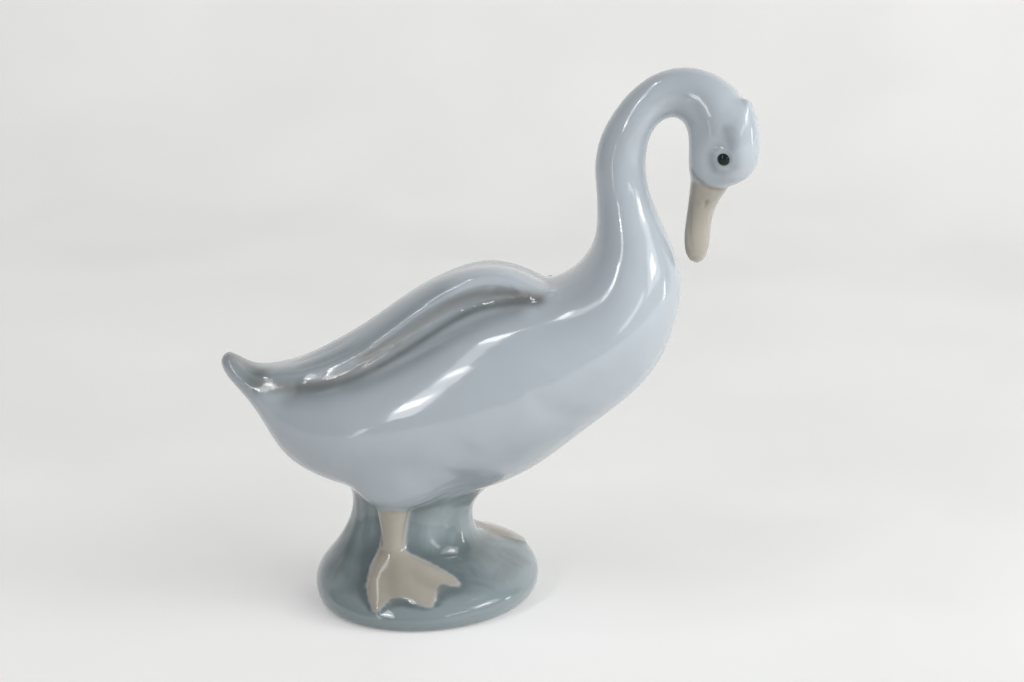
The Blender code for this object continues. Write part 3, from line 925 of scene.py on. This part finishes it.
def soften_joins(skin):
    """Rounds the creases where two forms meet, each pair by its own amount."""
    forms = skin.guide.kinds[skin.form]
    for one, other, rounds in JOINS:
        a, b = forms[skin.first], forms[skin.second]
        meets = ((a == one) & (b == other)) | ((a == other) & (b == one))
        if one == other:
            meets &= skin.form[skin.first] != skin.form[skin.second]
        weight = np.zeros(len(skin.points))
        weight[skin.first[meets]] = 1
        weight[skin.second[meets]] = 1
        weight = np.clip(skin.spread(weight, rounds) * JOIN_REACH, 0, 1)
        skin.smooth(weight, rounds)


def blend_the_tail(skin):
    """Melts the wing tips into the tail behind them."""
    behind = np.clip((TIP_MELTS - skin.points[:, 0]) / TIP_FADE, 0, 1)
    skin.smooth(behind, TAIL_ROUNDS)
    wings = np.clip(skin.spread(skin.is_on("wing") * TIP_REACH, TIP_SPREAD), 0, 1)
    skin.smooth(behind * wings, TIP_ROUNDS)


def both_sides(skin, pixels, turn):
    path = skin.seen_path(pixels)
    return path, mirrored(path, turn)


def work_the_skin(skin):
    """The modeller's strokes, on the seen side and mirrored on the other."""
    for strokes, turn in ((BODY_STROKES, 0.0), (HEAD_STROKES, HEAD_TURN), (MOUND_STROKES, 0.0)):
        for height, width, *pixels in strokes:
            for path in both_sides(skin, pixels, turn):
                skin.press(path, height, width)
    for height, width, *pixels in FOOT_STROKES:
        skin.press(skin.seen_path(pixels), height, width)
    height, width, line = TAIL_SCOOP
    line = [Vector((x, 0, z)) for x, z in spline(line, SCOOP_STEPS)]
    skin.press(skin.near_path(line), height, width, SCOOP_TAPER)
    flute_the_column(skin)


def flute_the_column(skin):
    """Shallow upright flutes all round the mound's column, under the bird."""
    x, y, z = skin.points.T
    bearing = np.arctan2(y, x - FLUTE_MIDDLE)
    sway, sways = FLUTE_SWAY
    wave = np.sin(FLUTES * bearing + sway * np.sin(sways * bearing) + FLUTE_LEAN * z)
    band = np.interp(z, FLUTE_BAND, (0, 1, 1, 0)) * skin.near("mound", spread=FLUTE_SPREAD)
    skin.points += skin.facing * (FLUTE_HEIGHT * wave * band)[:, None]
    skin.facing = skin.normals()


def set_eyes(skin):
    """Hollows the sockets, raises the lids, and lays a bead in each."""
    beads = []
    depth, width = EYE_SOCKET
    for side, path in zip(("right", "left"), both_sides(skin, [EYE_PIXEL], HEAD_TURN)):
        skin.press(path, depth, width)
        place = Vector(path[0][0])
        out = Vector(path[1][0]).normalized()
        place += out * (depth * MM)
        skin.build_tree()
        for lid_height, lid_width, radius in (EYE_LID, EYE_ORBIT):
            skin.press(skin.ring_path(place, out, radius), lid_height, lid_width, 0.0)
        skin.eyes.append((place, out))
        beads.append(eye_bead(f"{side}_eye", place - out * EYE_SUNK, out))
    return beads


def eye_bead(name, centre, out):
    """A round bead of glaze that looks outwards."""
    bm = bmesh.new()
    bmesh.ops.create_icosphere(bm, subdivisions=4, radius=EYE_BEAD)
    turn = out.to_track_quat("Z", "Y").to_matrix()
    for vertex in bm.verts:
        vertex.co = centre + turn @ vertex.co
    return smooth_piece(name, bm)


def paint_masks(skin):
    """Masks for the glaze: the colours, the tints and painted shade, and the hollows, where it pools
    and where shade is painted.
    """
    count = len(skin.points)
    masks = {name: np.zeros(count) for name in ("cool", "warm", "green")}
    for tints, turn in ((TINTS_AND_SHADE, 0.0), (HEAD_TINTS_AND_SHADE, HEAD_TURN)):
        for name, strength, width, *pixels in tints:
            for path in both_sides(skin, pixels, turn):
                skin.tint(masks[name], path, strength, width)
    for name, strength, width, *pixels in FOOT_TINTS:
        skin.tint(masks[name], skin.seen_path(pixels), strength, width)
    strength, width, radius = EYE_SHADE
    for place, out in skin.eyes:
        skin.tint(masks["cool"], skin.ring_path(place, out, radius), strength, width)
    masks["blue"] = skin.near("mound", spread=BLUE_SPREAD)
    masks["peach"] = skin.near("bill", "leg", "foot", spread=PEACH_SPREAD)
    # How hollow each point is: the mound's glaze lies deep there, and the creases get painted shade
    hollow = (skin.pull() * skin.facing).sum(axis=1)
    masks["hollowness"] = skin.spread(hollow, HOLLOW_SPREAD) / HOLLOW_DEPTH
    for name, values in masks.items():
        layer = skin.mesh.attributes.new(name, "FLOAT", "POINT")
        layer.data.foreach_set("value", values.astype(np.float32))


def flatten_underside(skin):
    """The mound stands flat: its lowest points lie on the floor's level."""
    skin.points[:, 2] = np.maximum(skin.points[:, 2], 0)


def place_camera():
    camera = bpy.data.cameras.new("camera")
    camera.lens = LENS
    camera.sensor_width = SENSOR
    holder = placed("camera", camera)
    away = Vector((0, -math.cos(VIEW_PITCH), math.sin(VIEW_PITCH)))
    holder.location = VIEW_TARGET + away * VIEW_DISTANCE
    holder.rotation_euler = (math.pi / 2 - VIEW_PITCH, 0, 0)
    bpy.context.scene.camera = holder


def aimed(azimuth, elevation):
    """A direction from the bird: azimuth 0 is towards the camera, and above 0 is to the right."""
    a, e = math.radians(azimuth), math.radians(elevation)
    return Vector((math.sin(a) * math.cos(e), -math.cos(a) * math.cos(e), math.sin(e)))


def studio_lamp(name, low, high, distance, width, brightness):
    """A soft box that faces the bird and runs from one direction to another. Its brightness
    is its surface's, against a white of 1."""
    low, high = aimed(*low), aimed(*high)
    away = ((low + high) / 2).normalized()
    long = (high - low) - away * (high - low).dot(away)
    across = long.cross(away).normalized()
    light = bpy.data.lights.new(name, "AREA")
    light.shape = "RECTANGLE"
    light.size = width
    light.size_y = (high - low).length * distance
    light.energy = brightness * math.pi * light.size * light.size_y
    holder = placed(name, light)
    holder.visible_glossy = name not in NOT_MIRRORED
    turn = Matrix((across, long.normalized(), away)).transposed()
    place = LAMP_TARGET + away * distance
    holder.matrix_world = Matrix.Translation(place) @ turn.to_4x4()


def light_the_scene():
    world = bpy.data.worlds.new("studio")
    world.use_nodes = True
    background = world.node_tree.nodes["Background"]
    background.inputs["Color"].default_value = (*WORLD_COLOUR, 1)
    background.inputs["Strength"].default_value = WORLD_STRENGTH
    bpy.context.scene.world = world
    for lamp in LAMPS:
        studio_lamp(*lamp)


def make_stage():
    """A pale floor that sweeps up into a backdrop."""
    bm = bmesh.new()
    profile = [(FLOOR_NEAR, 0.0), (CURVE_STARTS, 0.0)]
    for k in range(1, CURVE_STEPS + 1):
        angle = math.pi / 2 * k / CURVE_STEPS
        y = CURVE_STARTS + CURVE_RADIUS * math.sin(angle)
        profile.append((y, CURVE_RADIUS - CURVE_RADIUS * math.cos(angle)))
    profile.append((CURVE_STARTS + CURVE_RADIUS, BACKDROP_TOP))
    rows = [[bm.verts.new((x, y, z)) for y, z in profile] for x in (-STAGE_REACH, STAGE_REACH)]
    for k in range(len(profile) - 1):
        bm.faces.new((rows[0][k], rows[1][k], rows[1][k + 1], rows[0][k + 1]))
    sweep = smooth_piece("sweep", bm)
    sweep.data.materials.append(paper())


class Nodes:
    """Short names for making the nodes of one material."""

    def __init__(self, name):
        self.material = bpy.data.materials.new(name)
        self.material.use_nodes = True
        self.tree = self.material.node_tree
        self.shader = self.tree.nodes["Principled BSDF"]

    def add(self, kind, inputs=(), **settings):
        """A new node with these settings, its inputs given as pairs of a name and a value."""
        node = self.tree.nodes.new(kind)
        for name, value in settings.items():
            setattr(node, name, value)
        for name, value in inputs:
            self.feed(node.inputs[name], value)
        return node

    def feed(self, socket, value):
        """Links a socket to the socket's value, or sets it where the value is a plain one."""
        if isinstance(value, bpy.types.NodeSocket):
            self.tree.links.new(value, socket)
        else:
            socket.default_value = value

    def shade(self, name, value):
        self.feed(self.shader.inputs[name], value)

    def mask(self, name):
        return self.add("ShaderNodeAttribute", attribute_name=name).outputs["Fac"]

    def place(self):
        """The piece's own place in metres."""
        return self.add("ShaderNodeTexCoord").outputs["Object"]

    def noise(self, scale, detail=3.0, distortion=0.0, stretch=(1, 1, 1)):
        """Noise over the piece's own place, as a value about 0.5."""
        shift = self.add("ShaderNodeMapping", (("Vector", self.place()), ("Scale", stretch)))
        inputs = (("Vector", shift.outputs["Vector"]), ("Scale", scale), ("Detail", detail))
        inputs += (("Distortion", distortion),)
        return self.add("ShaderNodeTexNoise", inputs).outputs["Fac"]

    def maths(self, operation, one, two):
        return self.add("ShaderNodeMath", ((0, one), (1, two)), operation=operation).outputs[0]

    def ramped(self, value, low, high, to_low=0.0, to_high=1.0):
        names = ("Value", "From Min", "From Max", "To Min", "To Max")
        inputs = zip(names, (value, low, high, to_low, to_high))
        node = self.add("ShaderNodeMapRange", inputs, interpolation_type="SMOOTHSTEP")
        return node.outputs["Result"]

    def mixed(self, share, one, two):
        """One colour going over to another by a share."""
        node = self.add("ShaderNodeMix", (("Factor", share),), data_type="RGBA")
        colours = [socket for socket in node.inputs if socket.type == "RGBA"]
        for socket, colour in zip(colours, (one, two)):
            self.feed(socket, (*colour, 1) if isinstance(colour, tuple) else colour)
        return [socket for socket in node.outputs if socket.type == "RGBA"][0]


def darker(colour, share):
    return tuple(share * channel for channel in colour)


def mound_blue(n, water, hollowness):
    """Watery blue: thin over edges, deep in hollows, and pale with streaks up the column."""
    thin = n.ramped(n.maths("ADD", n.maths("MULTIPLY", hollowness, -0.7), water), *THIN_GLAZE)
    blue = n.mixed(thin, SKY_BLUE, PALE_BLUE)
    deep = n.ramped(n.maths("ADD", hollowness, water), *DEEP_GLAZE)
    blue = n.mixed(deep, blue, darker(SKY_BLUE, 0.74))
    upright = n.add("ShaderNodeSeparateXYZ", ((0, n.place()),))
    column = n.ramped(upright.outputs["Z"], *COLUMN_PALES)
    pale = n.maths("MULTIPLY", column, n.ramped(water, *COLUMN_STREAKS))
    return n.mixed(pale, blue, COLUMN_BLUE)


def greys_and_painted_shade(n, colour):
    """The airbrushed tints and the painted shade over a colour, a little broken."""
    broken = n.ramped(n.noise(BREAK_SCALE, 3.0), *TINT_BREAKS)
    for mask, grey in (("cool", COOL_GREY), ("warm", WARM_GREY), ("green", GREEN_GREY)):
        colour = n.mixed(n.maths("MULTIPLY", n.mask(mask), broken), colour, grey)
    return colour


def specked(n, colour):
    """A few dark specks over a colour."""
    specks = n.add("ShaderNodeTexVoronoi", (("Vector", n.place()), ("Scale", SPECK_SCALE)))
    speck = n.ramped(specks.outputs["Distance"], *SPECK_SIZE)
    split = n.add("ShaderNodeSeparateColor", ((0, specks.outputs["Color"]),))
    rare = n.ramped(split.outputs[0], *SPECK_RARITY)
    return n.mixed(n.maths("MULTIPLY", n.maths("MULTIPLY", speck, rare), 0.7), colour, SPECK_BROWN)


def porcelain():
    """Glazed porcelain: white, with a watery blue mound, peach bill and feet, airbrushed greys and
    painted shade.
    """
    n = Nodes("porcelain_glaze")
    cloud = n.noise(CLOUD_SCALE, 4.0, 0.6)
    grain = n.noise(GRAIN_SCALE, 2.0)
    water = n.noise(WATER_SCALE, 5.0, 1.4, WATER_STRETCH)
    hollowness = n.mask("hollowness")
    white = n.mixed(n.ramped(cloud, *CLOUDING), WHITE, darker(WHITE, 0.93))
    peach = n.mixed(n.ramped(grain, *GRAINING), PEACH, darker(PEACH, 0.9))
    colour = n.mixed(n.mask("blue"), white, mound_blue(n, water, hollowness))
    colour = n.mixed(n.mask("peach"), colour, peach)
    colour = greys_and_painted_shade(n, colour)
    # Painted shade: the creases go cool grey
    colour = n.mixed(n.ramped(hollowness, *CREASE_SHADE), colour, COOL_GREY)
    n.shade("Base Color", specked(n, colour))
    n.shade("Roughness", n.ramped(cloud, *GLAZE_ROUGHNESS))
    swell = n.noise(WAVE_SCALE, 2.0)
    height = n.maths("ADD", swell, n.maths("MULTIPLY", grain, 0.12))
    inputs = (("Strength", 0.18), ("Distance", 0.0004), ("Height", height))
    wave = n.add("ShaderNodeBump", inputs).outputs["Normal"]
    n.shade("Normal", wave)
    n.shade("Coat Normal", wave)
    for name, value in GLAZE_BODY:
        n.shade(name, value)
    return n.material


def eye_glaze():
    """Black glaze with a mottled green cast."""
    n = Nodes("eye_glaze")
    cast = n.noise(EYE_SCALE, 2.0)
    colour = n.mixed(n.ramped(cast, 0.35, 0.65), BLACK, GREEN_BLACK)
    n.shade("Base Color", colour)
    n.shade("Roughness", n.ramped(cast, *EYE_ROUGHNESS))
    n.shade("Specular IOR Level", EYE_GLOSS)
    return n.material


def paper():
    """Matt pale paper with a faint mottle, which the camera sees a little lighter."""
    n = Nodes("paper")
    mottle = n.ramped(n.noise(PAPER_SCALE, 4.0, 0.3), 0.3, 0.7)
    colour = n.mixed(mottle, PAPER_GREY, PAPER_WHITE)
    n.shade("Base Color", colour)
    n.shade("Roughness", PAPER_ROUGHNESS)
    path = n.add("ShaderNodeLightPath")
    seen = n.maths("MAXIMUM", path.outputs["Is Camera Ray"], path.outputs["Is Glossy Ray"])
    seen = n.maths("MAXIMUM", seen, path.outputs["Is Transmission Ray"])
    n.shade("Emission Color", colour)
    n.shade("Emission Strength", n.maths("MULTIPLY", seen, PAPER_GLOW))
    return n.material


def make_figurine():
    forms = all_forms()
    guide = Guide(forms)
    skin = Skin(refined(fused(forms), guide), guide)
    skin.smooth(np.ones(len(skin.points)), SKIN_ROUNDS)
    soften_joins(skin)
    skin.smooth(skin.near("crown", spread=CROWN_SPREAD), CROWN_ROUNDS)
    skin.build_tree()
    work_the_skin(skin)
    blend_the_tail(skin)
    inside_web = np.interp(skin.near("foot", spread=WEB_SPREAD), WEB_EDGE, (0, 1))
    skin.smooth(inside_web, WEB_ROUNDS)
    for kinds, rounds in FINISHES:
        skin.smooth(skin.near(*kinds, spread=FINISH_SPREAD), rounds)
    beads = set_eyes(skin)
    flatten_underside(skin)
    paint_masks(skin)
    skin.store()
    skin.mesh.shade_smooth()
    return placed("porcelain_goose", skin.mesh), beads


def main():
    place_camera()
    light_the_scene()
    make_stage()
    figurine, beads = make_figurine()
    figurine.data.materials.append(porcelain())
    black = eye_glaze()
    for bead in beads:
        bead.data.materials.append(black)
    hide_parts("goose_figurine")
    for piece in (figurine, *beads):
        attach(piece, "root")
    bpy.context.scene.view_settings.view_transform = "Standard"


main()
